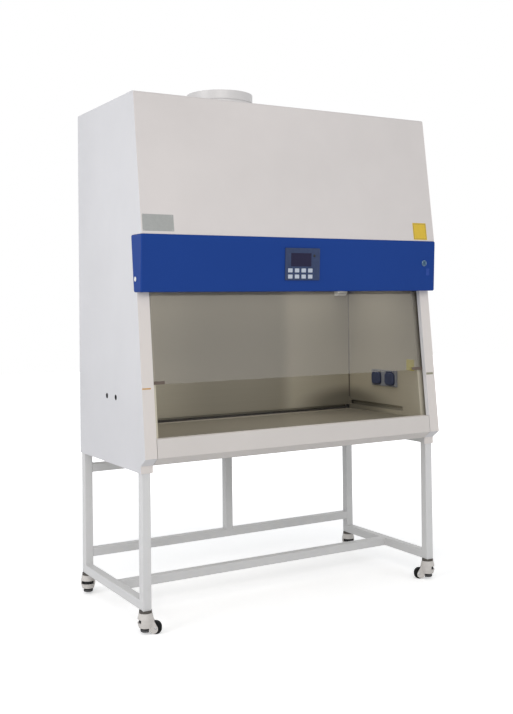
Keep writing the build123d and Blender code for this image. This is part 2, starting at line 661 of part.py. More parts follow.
# control unit
key_places = [(KEY_FIRST_X + KEY_PITCH_X * column, row)
              for row in KEY_ROWS for column in range(KEY_COLUMNS)]
with BuildPart() as control_bezel:
    with BuildSketch(band_plane(UNIT_X, UNIT_Z)) as bezel_face:
        RectangleRounded(UNIT_SIZE[0], UNIT_SIZE[1], UNIT_ROUND)
    extrude(bezel_face.sketch, amount=UNIT_RISE)
    chamfer(control_bezel.faces().sort_by(Axis.Y)[0].edges(), SHEET / 2)
    with BuildSketch(band_plane(UNIT_X, UNIT_Z, UNIT_RISE)) as screen_pocket:
        with Locations(SCREEN_AT):
            Rectangle(SCREEN_SIZE[0], SCREEN_SIZE[1])
    extrude(screen_pocket.sketch, amount=-SCREEN_POCKET, mode=Mode.SUBTRACT)
    with BuildSketch(band_plane(UNIT_X, UNIT_Z, UNIT_RISE)) as key_pockets:
        with Locations(*key_places):
            Rectangle(KEY_SIZE[0] + 2 * KEY_GAP, KEY_SIZE[1] + 2 * KEY_GAP)
    extrude(key_pockets.sketch, amount=-KEY_POCKET, mode=Mode.SUBTRACT)
store(control_bezel.part, "control_bezel")

with BuildPart() as display_screen:
    with BuildSketch(band_plane(UNIT_X, UNIT_Z, UNIT_RISE - SCREEN_POCKET)) as screen_face:
        with Locations(SCREEN_AT):
            Rectangle(SCREEN_SIZE[0] - SEAM, SCREEN_SIZE[1] - SEAM)
    extrude(screen_face.sketch, amount=SCREEN_RISE)
store(display_screen.part, "display_screen")

key_base = UNIT_RISE - KEY_POCKET + KEY_TRAVEL + SEAM
for number, place in enumerate(key_places, start=1):
    with BuildPart() as key:
        with BuildSketch(band_plane(UNIT_X, UNIT_Z, key_base)) as key_face:
            with Locations(place):
                RectangleRounded(KEY_SIZE[0], KEY_SIZE[1], SHEET)
        extrude(key_face.sketch, amount=UNIT_RISE + KEY_PROUD - key_base)
        chamfer(key.faces().sort_by(Axis.Y)[0].edges(), KEY_GAP)
    store(key.part, "key_" + str(number))

with BuildPart() as key_switch:
    with BuildSketch(band_plane(LOCK_X, LOCK_Z)) as barrel:
        Circle(LOCK_R)
    extrude(barrel.sketch, amount=-LOCK_LENGTH)
    with BuildSketch(band_plane(LOCK_X, LOCK_Z)) as barrel_neck:
        Circle(LOCK_R)
    extrude(barrel_neck.sketch, amount=SEAM)
    with BuildSketch(band_plane(LOCK_X, LOCK_Z, SEAM)) as lock_flange:
        Circle(LOCK_FLANGE_R)
    extrude(lock_flange.sketch, amount=LOCK_FLANGE)
    chamfer(key_switch.faces().sort_by(Axis.Y)[0].edges(), SHEET / 2)
    with BuildSketch(band_plane(LOCK_X, LOCK_Z, SEAM + LOCK_FLANGE)) as bow:
        SlotOverall(KEY_BOW[0], KEY_BOW[1], rotation=90)
    extrude(bow.sketch, amount=KEY_BOW[2])
store(key_switch.part, "key_switch")

# sockets with hinged covers on the right-hand inner wall
PLATE_X = LINER_HALF - PLATE_RISE
HINGE_X = PLATE_X - HINGE_OUT


def hinge_rod(middle_y, low, high, radius, mode=Mode.ADD):
    rod_plane = Plane(origin=(HINGE_X, middle_y + low, HINGE_Z), x_dir=(1, 0, 0), z_dir=(0, 1, 0))
    with BuildSketch(rod_plane) as rod:
        Circle(radius)
    extrude(rod.sketch, amount=high - low, mode=mode)


with BuildPart() as socket_plate:
    bar(PLATE_X, LINER_HALF, PLATE_DEPTHS[0], PLATE_DEPTHS[1], PLATE_ZS[0], PLATE_ZS[1])
    for cover_depth in COVER_DEPTHS:
        cover_y = world_y(cover_depth)
        for end in (-1, 1):
            inner_end = end * (BARREL_HALF + SEAM)
            outer_end = end * (BARREL_HALF + SEAM + LUG)
            near_end, far_end = min(inner_end, outer_end), max(inner_end, outer_end)
            bar(HINGE_X, PLATE_X, cover_depth - far_end, cover_depth - near_end,
                HINGE_Z - BARREL_R, HINGE_Z + BARREL_R)
            hinge_rod(cover_y, near_end, far_end, BARREL_R)
        hinge_rod(cover_y, -BARREL_HALF - LUG, BARREL_HALF + LUG, PIN_R)
        socket_z = (COVER_BOTTOM + HINGE_Z) / 2
        with BuildSketch(Plane.YZ.offset(PLATE_X)) as socket_well:
            with Locations((cover_y, socket_z)):
                Circle(SOCKET_R)
        extrude(socket_well.sketch, amount=SOCKET_SINK, mode=Mode.SUBTRACT)
store(socket_plate.part, "socket_plate")

for number, cover_depth in enumerate(COVER_DEPTHS, start=1):
    cover_y = world_y(cover_depth)
    cover_x = PLATE_X - SEAM - COVER_RISE
    with BuildPart() as cover:
        cover_middle = (COVER_BOTTOM + HINGE_Z - BARREL_R - SEAM) / 2
        cover_height = HINGE_Z - BARREL_R - SEAM - COVER_BOTTOM
        with BuildSketch(Plane.YZ.offset(cover_x)) as cover_face:
            with Locations((cover_y, cover_middle)):
                RectangleRounded(COVER_WIDTH, cover_height, COVER_ROUND)
        extrude(cover_face.sketch, amount=COVER_RISE)
        chamfer(cover.faces().sort_by(Axis.X)[0].edges(), BARREL_R)
        bar(HINGE_X - PIN_R, HINGE_X + PIN_R, cover_depth - BARREL_HALF,
            cover_depth + BARREL_HALF, HINGE_Z - 2 * BARREL_R, HINGE_Z)
        hinge_rod(cover_y, -BARREL_HALF, BARREL_HALF, BARREL_R)
        hinge_rod(cover_y, -BARREL_HALF, BARREL_HALF, PIN_R + RUNNING, Mode.SUBTRACT)
    store(cover.part, "socket_cover_" + str(number))


# stand, welded up from square tube: flat frames, rounded along every edge
LEG_X = STAND_HALF - TUBE / 2
REAR_LEG = STAND_BACK + TUBE / 2
FRONT_LEG = STAND_FRONT - TUBE / 2
for side, name in ((-1, "stand_frame_left"), (1, "stand_frame_right")):
    with BuildPart() as stand_side:
        side_bar(side, STAND_HALF - TUBE, STAND_HALF, STAND_BACK, STAND_FRONT,
                 STAND_BOTTOM, BASE_Z)
        side_bar(side, STAND_HALF - TUBE, STAND_HALF, STAND_BACK + TUBE, STAND_FRONT - TUBE,
                 STAND_BOTTOM + TUBE, BASE_Z - TUBE, Mode.SUBTRACT)
        for face in (stand_side.faces().sort_by(Axis.X)[0], stand_side.faces().sort_by(Axis.X)[-1]):
            fillet(face.edges(), TUBE_ROUND)
    store(stand_side.part, name)

RAIL_HALF = STAND_HALF - TUBE
with BuildPart() as stand_rear_frame:
    for rail_z in (REAR_LOW_Z, REAR_HIGH_Z):
        bar(-RAIL_HALF, RAIL_HALF, STAND_BACK, STAND_BACK + TUBE, rail_z, rail_z + TUBE)
    bar(-TUBE / 2, TUBE / 2, STAND_BACK, STAND_BACK + TUBE, REAR_LOW_Z + TUBE, REAR_HIGH_Z)
    for face in (stand_rear_frame.faces().sort_by(Axis.Y)[0],
                 stand_rear_frame.faces().sort_by(Axis.Y)[-1]):
        long_edges = face.edges().filter_by(lambda edge: edge.length > TUBE * 2)
        fillet(long_edges, TUBE_ROUND)
store(stand_rear_frame.part, "stand_rear_frame")

with BuildPart() as stand_centre_rail:
    middle = (STAND_BACK + STAND_FRONT) / 2
    bar(-RAIL_HALF, RAIL_HALF, middle - TUBE / 2, middle + TUBE / 2,
        STAND_BOTTOM, STAND_BOTTOM + TUBE)
    fillet(stand_centre_rail.edges().filter_by(Axis.X), TUBE_ROUND)
store(stand_centre_rail.part, "stand_centre_rail")

# levelling casters: each drawn about its own swivel axis, trailing along +X, then turned
CORNERS = {
    "front_left": (-LEG_X, world_y(FRONT_LEG)),
    "front_right": (LEG_X, world_y(FRONT_LEG)),
    "rear_left": (-LEG_X, world_y(REAR_LEG)),
    "rear_right": (LEG_X, world_y(REAR_LEG)),
}
upright = Plane(origin=(0, 0, 0), x_dir=(1, 0, 0), z_dir=(0, -1, 0))

with BuildPart() as caster_rings:
    for corner in CORNERS.values():
        with BuildSketch(Plane.XY.offset(RING_BOTTOM)) as ring_disc:
            with Locations(corner):
                Circle(RING_R)
        extrude(ring_disc.sketch, amount=STAND_BOTTOM - RING_BOTTOM)
        with BuildSketch(Plane.XY.offset(KINGPIN_BOTTOM)) as kingpin:
            with Locations(corner):
                Circle(KINGPIN_R)
        extrude(kingpin.sketch, amount=RING_BOTTOM - KINGPIN_BOTTOM)
store(caster_rings.part, "caster_rings")


def upright_disc(low_z, high_z, radius, mode=Mode.ADD):
    with BuildSketch(Plane.XY.offset(low_z)) as disc:
        Circle(radius)
    extrude(disc.sketch, amount=high_z - low_z, mode=mode)


with BuildPart() as caster_fork:
    with BuildSketch(upright):
        with BuildLine():
            Polyline((0, FORK_FOOT_Z), (FORK_FOOT_R, FORK_FOOT_Z), (FORK_BELLY_R, FORK_WAIST_Z),
                     (FORK_BELLY_R, FORK_BELLY_Z), (FORK_NECK_R, FORK_TOP), (0, FORK_TOP),
                     close=True)
        make_face()
    revolve(axis=Axis.Z)
    with BuildSketch(upright) as cheeks:
        with Locations(CHEEK_AT):
            Circle(CHEEK_R)
        with Locations(SHOULDER_AT):
            Circle(SHOULDER_R)
        make_hull()
    extrude(cheeks.sketch, amount=CHEEK_HALF, both=True)
    with BuildSketch(upright) as wheel_slot:
        with Locations((WHEEL_TRAIL, WHEEL_R)):
            Circle(WHEEL_R + WHEEL_ROOM)
    extrude(wheel_slot.sketch, amount=WHEEL_HALF + DIAL_ROOM, both=True, mode=Mode.SUBTRACT)
    with BuildSketch(upright) as axle:
        with Locations((WHEEL_TRAIL, WHEEL_R)):
            Circle(AXLE_R)
    extrude(axle.sketch, amount=CHEEK_HALF, both=True)
    upright_disc(0, FORK_FOOT_Z, PAD_R + WHEEL_ROOM, Mode.SUBTRACT)
    upright_disc(DIAL_BOTTOM - DIAL_ROOM, DIAL_BOTTOM + DIAL_RISE + DIAL_ROOM,
                 DIAL_R + DIAL_ROOM, Mode.SUBTRACT)
    with BuildSketch(Plane.XY.offset(DIAL_BOTTOM - DIAL_ROOM)) as dial_window:
        with Locations((-FORK_BELLY_R, 0)):
            Rectangle(2 * FORK_BELLY_R, 2 * WINDOW_HALF)
    extrude(dial_window.sketch, amount=DIAL_RISE + 2 * DIAL_ROOM, mode=Mode.SUBTRACT)
    upright_disc(FORK_FOOT_Z - DIAL_ROOM, SCREW_TOP + FOOT_LIFT + DIAL_ROOM, SCREW_R + RUNNING,
                 Mode.SUBTRACT)
    upright_disc(KINGPIN_BOTTOM - DIAL_ROOM, FORK_TOP, KINGPIN_R + RUNNING, Mode.SUBTRACT)

with BuildPart() as caster_wheel:
    with BuildSketch(upright) as tyre:
        with Locations((WHEEL_TRAIL, WHEEL_R)):
            Circle(WHEEL_R)
            Circle(AXLE_R + RUNNING, mode=Mode.SUBTRACT)
    extrude(tyre.sketch, amount=WHEEL_HALF, both=True)
    for face_y in (-WHEEL_HALF, WHEEL_HALF):
        with BuildSketch(upright.offset(face_y)) as hub_sink:
            with Locations((WHEEL_TRAIL, WHEEL_R)):
                Circle(WHEEL_R - TREAD)
                Circle(2 * AXLE_R, mode=Mode.SUBTRACT)
        extrude(hub_sink.sketch, amount=-HUB_SINK if face_y > 0 else HUB_SINK, mode=Mode.SUBTRACT)

with BuildPart() as caster_dial:
    upright_disc(DIAL_BOTTOM, DIAL_BOTTOM + DIAL_RISE, DIAL_R)
    upright_disc(DIAL_BOTTOM, DIAL_BOTTOM + DIAL_RISE, SCREW_R + RUNNING, Mode.SUBTRACT)
    with BuildSketch(Plane.XY.offset(DIAL_BOTTOM)) as notches:
        with PolarLocations(DIAL_R, DIAL_NOTCHES):
            Rectangle(NOTCH_R, NOTCH_R)
    extrude(notches.sketch, amount=DIAL_RISE, mode=Mode.SUBTRACT)

with BuildPart() as caster_foot:
    upright_disc(PAD_BOTTOM, PAD_BOTTOM + PAD_RISE, PAD_R)
    chamfer(caster_foot.faces().sort_by(Axis.Z)[0].edges(), SHEET)
    with BuildSketch(Plane.XY.offset(PAD_BOTTOM)) as wheel_side:
        with Locations((WHEEL_TRAIL - WHEEL_R - WHEEL_ROOM, 0)):
            Rectangle(PAD_R, 2 * PAD_R, align=(Align.MIN, Align.CENTER))
    extrude(wheel_side.sketch, amount=PAD_RISE, mode=Mode.SUBTRACT)
    upright_disc(PAD_BOTTOM + PAD_RISE, SCREW_TOP, SCREW_R)

for corner_name, (corner_x, corner_y) in CORNERS.items():
    place = Location((corner_x, corner_y, 0), (0, 0, CASTER_TURNS[corner_name]))
    for piece, kind in ((caster_fork, "fork"), (caster_wheel, "wheel"),
                        (caster_dial, "dial"), (caster_foot, "foot")):
        store(piece.part.moved(place), "caster_" + corner_name + "_" + kind)
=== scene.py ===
import bpy
import bmesh
import math
from mathutils import Matrix, Vector


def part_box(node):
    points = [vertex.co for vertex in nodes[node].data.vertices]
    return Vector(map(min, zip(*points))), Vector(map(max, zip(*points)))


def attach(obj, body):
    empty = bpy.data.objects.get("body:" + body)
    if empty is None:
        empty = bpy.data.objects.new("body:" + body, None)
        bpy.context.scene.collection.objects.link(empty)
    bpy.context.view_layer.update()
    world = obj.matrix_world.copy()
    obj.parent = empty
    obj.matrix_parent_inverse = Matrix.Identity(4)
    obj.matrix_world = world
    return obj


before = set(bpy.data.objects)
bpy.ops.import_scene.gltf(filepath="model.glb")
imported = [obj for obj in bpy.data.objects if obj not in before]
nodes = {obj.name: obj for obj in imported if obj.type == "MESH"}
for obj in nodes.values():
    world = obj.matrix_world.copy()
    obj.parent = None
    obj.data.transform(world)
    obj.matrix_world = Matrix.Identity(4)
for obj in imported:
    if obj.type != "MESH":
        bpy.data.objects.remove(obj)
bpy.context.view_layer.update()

scene = bpy.context.scene

# ---------------------------------------------------------------- the object's own places
BACK_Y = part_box("back_panel")[1].y

# the work chamber's liner: half its inner width in metres, and its back wall's depth in mm
LINER_HALF = 0.675
LINER_BACK = 122.0

# each caster: the swivel axis (x in metres, depth in mm) and where its wheel trails, in degrees
CASTER_LAYOUT = {"front_left": (-0.726, 665, -25), "front_right": (0.726, 665, 142),
                 "rear_left": (-0.726, 22, 62), "rear_right": (0.726, 22, 62)}
WHEEL_TRAIL = 0.040
WHEEL_R = 0.025
CHEEK_HALF = 0.017


def depth_y(depth_mm):
    """The Y of a place that many millimetres in front of the back."""
    return BACK_Y - depth_mm / 1000.0


# ---------------------------------------------------------------- camera
# The camera was solved from the cabinet's straight edges.
YAW = math.radians(30.329)
PITCH = math.radians(0.9175)
ROLL = math.radians(-0.634)
EYE = Vector((-2.3101, BACK_Y - 4.278, 1.3215))
FOCAL_PX = 977.0
LONG_SIDE_PX = 714.0
CENTRE_ROW = 285.5
SENSOR_MM = 36.0
CLIP_END = 60.0


def aim_camera():
    forward = Vector((math.sin(YAW) * math.cos(PITCH), math.cos(YAW) * math.cos(PITCH),
                      math.sin(PITCH)))
    level_right = Vector((math.cos(YAW), -math.sin(YAW), 0.0))
    level_up = level_right.cross(forward)
    right = math.cos(ROLL) * level_right + math.sin(ROLL) * level_up
    up = -math.sin(ROLL) * level_right + math.cos(ROLL) * level_up
    data = bpy.data.cameras.new("camera")
    data.sensor_width = SENSOR_MM
    data.lens = FOCAL_PX / LONG_SIDE_PX * SENSOR_MM
    data.shift_y = (CENTRE_ROW - LONG_SIDE_PX / 2) / LONG_SIDE_PX
    data.clip_end = CLIP_END
    camera = bpy.data.objects.new("camera", data)
    scene.collection.objects.link(camera)
    turn = Matrix((right, up, -forward)).transposed()
    camera.matrix_world = Matrix.Translation(EYE) @ turn.to_4x4()
    scene.camera = camera


aim_camera()


# ---------------------------------------------------------------- materials
def linear(r, g, b):
    """An sRGB colour, 0 to 255, as scene-linear numbers."""
    channels = []
    for value in (r, g, b):
        c = value / 255.0
        channels.append(c / 12.92 if c <= 0.04045 else ((c + 0.055) / 1.055) ** 2.4)
    return (*channels, 1.0)


def shade(colour, factor):
    """The same colour, darker or lighter."""
    return (*[min(1.0, c * factor) for c in colour[:3]], 1.0)


class Finish:
    """A node material under construction: one Principled surface and its textures."""

    def __init__(self, name):
        self.mat = bpy.data.materials.new(name)
        self.mat.use_nodes = True
        self.tree = self.mat.node_tree
        self.tree.nodes.clear()
        self.out = self.add("ShaderNodeOutputMaterial")
        self.surface = self.add("ShaderNodeBsdfPrincipled")
        self.link(self.surface.outputs[0], self.out.inputs[0])
        self.coord = self.add("ShaderNodeTexCoord")

    def add(self, kind, **values):
        node = self.tree.nodes.new(kind)
        for key, value in values.items():
            setattr(node, key, value)
        return node

    def link(self, a, b):
        self.tree.links.new(a, b)

    def noise(self, scale, stretch=(1, 1, 1), detail=3.0, rough=0.55, distortion=0.0):
        """Soft noise in the object's own space, about 0.3 to 0.7; scale is cells to a metre."""
        mapping = self.add("ShaderNodeMapping")
        mapping.inputs["Scale"].default_value = stretch
        self.link(self.coord.outputs["Object"], mapping.inputs["Vector"])
        noise = self.add("ShaderNodeTexNoise")
        noise.inputs["Scale"].default_value = scale
        noise.inputs["Detail"].default_value = detail
        noise.inputs["Roughness"].default_value = rough
        noise.inputs["Distortion"].default_value = distortion
        self.link(mapping.outputs[0], noise.inputs["Vector"])
        return noise.outputs[0]

    def ramp(self, source, stops):
        """Colours by place along source, from (place, colour) stops."""
        ramp = self.add("ShaderNodeValToRGB")
        elements = ramp.color_ramp.elements
        while len(elements) < len(stops):
            elements.new(0.5)
        for element, (place, colour) in zip(elements, stops):
            element.position = place
            element.color = colour
        self.link(source, ramp.inputs[0])
        return ramp.outputs[0]

    def spread(self, source, low, high):
        """source from 0 to 1, laid out from low to high."""
        spread = self.add("ShaderNodeMapRange")
        spread.inputs["To Min"].default_value = low
        spread.inputs["To Max"].default_value = high
        self.link(source, spread.inputs["Value"])
        return spread.outputs[0]

    def ease(self, source, start, end, low, high):
        """low up to start, high from end on, and a soft step between them."""
        step = self.add("ShaderNodeMapRange", interpolation_type="SMOOTHSTEP")
        for key, value in (("From Min", start), ("From Max", end), ("To Min", low),
                           ("To Max", high)):
            step.inputs[key].default_value = value
        self.link(source, step.inputs["Value"])
        return step.outputs[0]

    def times(self, a, b):
        product = self.add("ShaderNodeMath", operation="MULTIPLY")
        self.link(a, product.inputs[0])
        self.link(b, product.inputs[1])
        return product.outputs[0]

    def blend(self, source, factor, end):
        """source where factor is 0, and end where it is 1."""
        mix = self.add("ShaderNodeMix", data_type="FLOAT")
        mix.inputs["B"].default_value = end
        self.link(factor, mix.inputs["Factor"])
        self.link(source, mix.inputs["A"])
        return mix.outputs[0]

    def split(self, vector):
        """The X, Y and Z of a vector, by name."""
        parts = self.add("ShaderNodeSeparateXYZ")
        self.link(vector, parts.inputs[0])
        return parts.outputs

    def bump(self, height, depth, strength):
        bump = self.add("ShaderNodeBump")
        bump.inputs["Strength"].default_value = strength
        bump.inputs["Distance"].default_value = depth
        self.link(height, bump.inputs["Height"])
        self.link(bump.outputs[0], self.surface.inputs["Normal"])

    def set(self, **values):
        """Sockets of the surface, by name with _ for each space."""
        for key, value in values.items():
            self.surface.inputs[key.replace("_", " ")].default_value = value


# a face's normal along Y: wholly front-facing below the first, not at all above the second
FRONT_FACING = (-0.9, -0.5)


def powder_coat(name, colour, rough=0.42, wear=0.05, sheen=0.5, front=None):
    """Baked enamel on sheet steel: orange peel, faint clouding and hand marks.

    front is the colour of the faces that look to the front, where it isn't the same: painted light,
    a warmer white where light falls on the front."""
    f = Finish(name)
    cloud = f.noise(2.2, detail=4.0)
    paint = f.ramp(cloud, [(0.30, shade(colour, 1 - wear)),
                           (0.70, shade(colour, 1 + wear * 0.4))])
    # painted light: faces that look to the front take the front colour
    if front:
        facing = f.split(f.add("ShaderNodeNewGeometry").outputs["Normal"])["Y"]
        front_lit_paint = f.add("ShaderNodeMix", data_type="RGBA")
        f.link(f.ease(facing, *FRONT_FACING, 1.0, 0.0), front_lit_paint.inputs["Factor"])
        f.link(paint, front_lit_paint.inputs["A"])
        front_lit_paint.inputs["B"].default_value = front
        paint = front_lit_paint.outputs["Result"]
    f.link(paint, f.surface.inputs["Base Color"])
    smears = f.noise(9.0, stretch=(1, 1, 0.35), detail=5.0, distortion=0.6)
    f.link(f.spread(smears, rough - 0.08, rough + 0.08), f.surface.inputs["Roughness"])
    f.bump(f.noise(420.0, detail=2.0), 0.00012, 0.35)
    f.set(Specular_IOR_Level=sheen)
    return f.mat


def brushed_steel(name, colour, grain, rough=0.34, metal=1.0):
    """Bare sheet steel; its grain runs along the axis where the grain number is small."""
    f = Finish(name)
    streaks = f.noise(1.0, stretch=grain, detail=6.0, rough=0.7)
    f.link(f.ramp(streaks, [(0.25, shade(colour, 0.86)), (0.75, shade(colour, 1.10))]),
           f.surface.inputs["Base Color"])
    cloud = f.noise(3.0, detail=4.0)
    f.link(f.spread(cloud, rough - 0.07, rough + 0.07), f.surface.inputs["Roughness"])
    f.bump(streaks, 0.0002, 0.25)
    f.set(Metallic=metal)
    return f.mat


def moulded(name, colour, rough=0.5, grain=900.0, depth=0.00006, wear=0.12, sheen=0.3):
    """Moulded plastic or rubber: fine spark-eroded grain, a little scuffing."""
    f = Finish(name)
    scuff = f.noise(60.0, detail=6.0, rough=0.7)
    f.link(f.ramp(scuff, [(0.35, shade(colour, 1 - wear)), (0.72, shade(colour, 1 + wear))]),
           f.surface.inputs["Base Color"])
    f.link(f.spread(f.noise(25.0), rough - 0.08, rough + 0.1), f.surface.inputs["Roughness"])
    f.bump(f.noise(grain, detail=2.0), depth, 0.5)
    f.set(Specular_IOR_Level=sheen)
    return f.mat


# Painted light and shade on the chamber's steel, by its place, as the photo shows it: darker higher
# up, lighter side walls, painted light on the flange that lies in shade, a painted reflection to
# the right and painted light to the left. Each row is where a change starts and ends, in metres,
# and the factor before it and after it.
PAINTED_LIGHT_UPWARDS = (0.95, 1.15, 0.81, 0.67)
PAINTED_LIGHT_ON_FLANGE = (-0.27, -0.25, 1.3, 1.0)
PAINTED_SHEEN_TO_THE_RIGHT = (0.24, 0.34, 0.94, 1.50)
PAINTED_LIGHT_TO_THE_LEFT = (-0.62, -0.12, 1.65, 0.96)
SIDE_WALL_PAINTED_LIGHT = 1.21

# painted shade, darker low in the right rear corner: its middle, its reach each way, and its tone
# outwards
SHADE_SPOT_MIDDLE = (LINER_HALF, depth_y(LINER_BACK), 0.79)
SHADE_SPOT_REACH = (0.38, 0.42, 0.11)
TONE_OUT_OF_SHADE_SPOT = (0.35, 1.0, 0.50, 1.0)

GRAIN_ALONG_X = (1.5, 420.0, 420.0)
GRAIN_LEVEL = (1.5, 1.5, 420.0)


def liner_steel(name, colour):
    """The chamber's own stainless: its grain lies level, and painted light and shade by its place
    darken and lighten it.
    """
    f = Finish(name)
    streaks = f.noise(1.0, stretch=GRAIN_LEVEL, detail=6.0, rough=0.7)
    sheet = f.ramp(streaks, [(0.25, shade(colour, 0.96)), (0.75, shade(colour, 1.03))])
    place = f.split(f.coord.outputs["Object"])
    facing = f.split(f.add("ShaderNodeNewGeometry").outputs["Normal"])
    either_side = f.add("ShaderNodeMath", operation="ABSOLUTE")
    f.link(facing["X"], either_side.inputs[0])
    sideways = either_side.outputs[0]
    # painted light and shade: by height, on the side walls, on the flange and towards each end
    height = f.ease(place["Z"], *PAINTED_LIGHT_UPWARDS)
    wall = f.spread(sideways, 1.0, SIDE_WALL_PAINTED_LIGHT)
    flange = f.ease(place["Y"], *PAINTED_LIGHT_ON_FLANGE)
    right_end = f.ease(place["X"], *PAINTED_SHEEN_TO_THE_RIGHT)
    left_end = f.ease(place["X"], *PAINTED_LIGHT_TO_THE_LEFT)
    level = f.times(f.times(height, wall), f.times(right_end, left_end))
    level = f.times(level, f.blend(flange, sideways, 1.0))
    # painted shade: darker towards the middle of the spot in the right rear corner
    shade_spot = f.add("ShaderNodeMapping")
    shade_spot.inputs["Scale"].default_value = [1 / r for r in SHADE_SPOT_REACH]
    shade_spot.inputs["Location"].default_value = [-m / r for m, r in zip(SHADE_SPOT_MIDDLE, SHADE_SPOT_REACH)]
    f.link(f.coord.outputs["Object"], shade_spot.inputs["Vector"])
    corner = f.add("ShaderNodeVectorMath", operation="LENGTH")
    f.link(shade_spot.outputs[0], corner.inputs[0])
    level = f.times(level, f.ease(corner.outputs["Value"], *TONE_OUT_OF_SHADE_SPOT))
    # the steel's colour times all the painted light and shade
    steel_with_painted_light = f.add("ShaderNodeVectorMath", operation="SCALE")
    f.link(sheet, steel_with_painted_light.inputs[0])
    f.link(level, steel_with_painted_light.inputs["Scale"])
    f.link(steel_with_painted_light.outputs[0], f.surface.inputs["Base Color"])
    f.link(f.spread(f.noise(3.0, detail=4.0), 0.42, 0.55), f.surface.inputs["Roughness"])
    f.bump(streaks, 0.0002, 0.08)
    f.set(Metallic=0.55, Specular_IOR_Level=0.3)
    return f.mat


# the sash glass: what passes, what it mirrors and its film
PANE_CLEAR = (0.84, 0.835, 0.83, 1.0)
PANE_GLOSS = (0.82, 0.79, 0.73, 1.0)
PANE_HAZE = (0.78, 0.74, 0.68, 1.0)
# the share that the pane mirrors seen square on and seen edge on, and how late it rises
PANE_MIRROR = (0.090, 0.90)
PANE_MIRROR_POWER = 5.0
PANE_HAZE_SHARE = (0.010, 0.018)


def sash_pane(name):
    """Float glass: clear, a mirror at glancing angles, with a wiped film that catches light."""
    f = Finish(name)
    clear = f.add("ShaderNodeBsdfTransparent")
    clear.inputs["Color"].default_value = PANE_CLEAR
    gloss = f.add("ShaderNodeBsdfGlossy")
    gloss.inputs["Color"].default_value = PANE_GLOSS
    film = f.noise(6.0, stretch=(1, 1, 0.3), detail=5.0, distortion=0.8)
    f.link(f.spread(film, 0.02, 0.04), gloss.inputs["Roughness"])
    grazing = f.add("ShaderNodeMath", operation="POWER")
    f.link(f.add("ShaderNodeLayerWeight").outputs["Facing"], grazing.inputs[0])
    grazing.inputs[1].default_value = PANE_MIRROR_POWER
    pane = f.add("ShaderNodeMixShader")
    f.link(f.spread(grazing.outputs[0], *PANE_MIRROR), pane.inputs[0])
    f.link(clear.outputs[0], pane.inputs[1])
    f.link(gloss.outputs[0], pane.inputs[2])
    haze = f.add("ShaderNodeBsdfDiffuse")
    haze.inputs["Color"].default_value = PANE_HAZE
    body = f.add("ShaderNodeMixShader")
    f.link(f.spread(film, *PANE_HAZE_SHARE), body.inputs[0])
    f.link(pane.outputs[0], body.inputs[1])
    f.link(haze.outputs[0], body.inputs[2])
    f.link(body.outputs[0], f.out.inputs[0])
    f.tree.nodes.remove(f.surface)
    return f.mat


def lamp_glass(name):
    """The frosted glass of a lamp tube, glossy outside."""
    f = Finish(name)
    f.link(f.ramp(f.noise(30.0), [(0.3, (0.78, 0.80, 0.82, 1)), (0.7, (0.88, 0.90, 0.92, 1))]),
           f.surface.inputs["Base Color"])
    f.set(Roughness=0.12, Coat_Weight=0.6, Coat_Roughness=0.05)
    return f.mat


def perforated(name, colour, pitch):
    """Sheet steel punched with rows of round holes, drawn as dark dots: the dark in each hole is
    painted shade.
    """
    f = Finish(name)
    cells = f.add("ShaderNodeTexVoronoi", feature="F1", distance="EUCLIDEAN")
    cells.inputs["Scale"].default_value = 1.0 / pitch
    cells.inputs["Randomness"].default_value = 0.0
    f.link(f.coord.outputs["Object"], cells.inputs["Vector"])
    # painted shade: the near-black inside each hole
    f.link(f.ramp(cells.outputs["Distance"], [(0.30, shade(colour, 0.06)), (0.36, colour)]),
           f.surface.inputs["Base Color"])
    f.link(f.spread(f.noise(8.0), 0.3, 0.45), f.surface.inputs["Roughness"])
    f.bump(cells.outputs["Distance"], 0.0004, 0.4)
    f.set(Metallic=0.8)
    return f.mat


def filter_paper(name, colour):
    """Glass-fibre filter paper: matt and felted."""
    f = Finish(name)
    f.link(f.ramp(f.noise(180.0, detail=6.0), [(0.3, shade(colour, 0.9)), (0.7, colour)]),
           f.surface.inputs["Base Color"])
    f.bump(f.noise(900.0, detail=3.0), 0.0002, 0.6)
    f.set(Roughness=0.9)
    return f.mat


# the display's cells, in metres, and their colours
SCREEN_CELLS = {
    "Color1": (0.022, 0.019, 0.052, 1.0),
    "Color2": (0.026, 0.023, 0.060, 1.0),
    "Mortar": (0.014, 0.013, 0.034, 1.0),
    "Scale": 1.0,
    "Brick Width": 0.004,
    "Row Height": 0.006,
    "Mortar Size": 0.0005,
}


def screen_glass(name):
    """A dark liquid-crystal panel under clear plastic, its faint rows of cells showing."""
    f = Finish(name)
    rows = f.add("ShaderNodeTexBrick", offset=0.0)
    for key, value in SCREEN_CELLS.items():
        rows.inputs[key].default_value = value
    upright = f.add("ShaderNodeMapping")
    upright.inputs["Rotation"].default_value = (math.radians(90), 0, 0)
    f.link(f.coord.outputs["Object"], upright.inputs["Vector"])
    f.link(upright.outputs[0], rows.inputs["Vector"])
    f.link(rows.outputs[0], f.surface.inputs["Base Color"])
    f.link(f.spread(f.noise(20.0), 0.06, 0.16), f.surface.inputs["Roughness"])
    f.set(Specular_IOR_Level=0.1, Coat_Weight=0.05, Coat_Roughness=0.04)
    return f.mat


# the pitch of the diffuser's holes, in metres
HOLE_PITCH = 0.006

# WARM_WHITE and COOL_WHITE stand for one paint: the hood's warmer white and the panels' cooler
# white are painted light, warm on the front and cooler on the sides
WARM_WHITE = linear(213, 208, 206)
COOL_WHITE = linear(210, 210, 213)
NEAR_BLACK = (0.022, 0.022, 0.024, 1)

